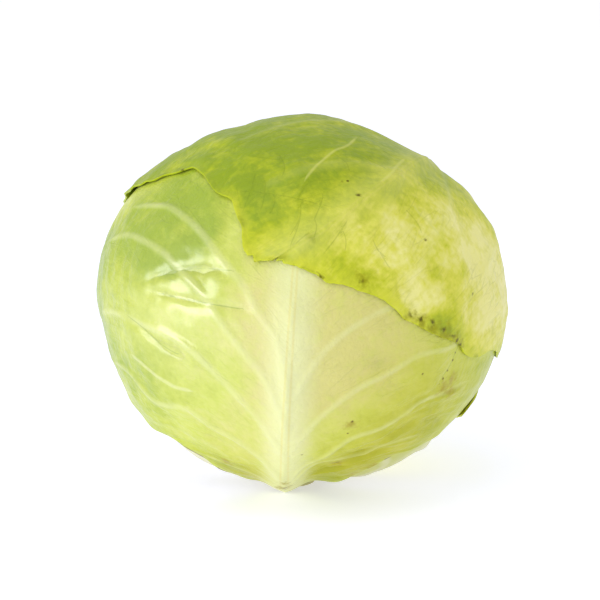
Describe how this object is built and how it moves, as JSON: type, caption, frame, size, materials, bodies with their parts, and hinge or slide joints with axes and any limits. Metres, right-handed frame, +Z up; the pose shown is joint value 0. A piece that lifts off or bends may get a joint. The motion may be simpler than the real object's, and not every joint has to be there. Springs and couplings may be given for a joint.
{
  "type": "cabbage head",
  "caption": "Round, slightly flattened head of white cabbage: overlapping ribbed wrapper leaves folded round a dense heart on a short cut stem, which it rests on.",
  "frame": {"origin": "Under the middle of the bounding box, on the level the head rests on", "axes": "+Z up; the front leaf, which the picture faces, is towards -Y; +X is to the viewer's right"},
  "size_m": [0.1912, 0.182, 0.1723],
  "materials": {
    "heart": "moist pale leaf, packed tight",
    "stem": "dry cut stem, a little browned",
    "inner_leaf": "waxy pale green leaf with a cream midrib",
    "front_leaf": "waxy, satin, cream-green leaf with pale veins",
    "cap_leaf": "waxy, satin, olive-green leaf with a yellow-green margin"
  },
  "bodies": {
    "root": {"heart": "heart", "stem": "stem", "left_leaf": "inner_leaf", "right_leaf": "inner_leaf", "back_leaf": "inner_leaf", "front_leaf": "front_leaf", "cap_leaf": "cap_leaf"}
  },
  "joints": []
}
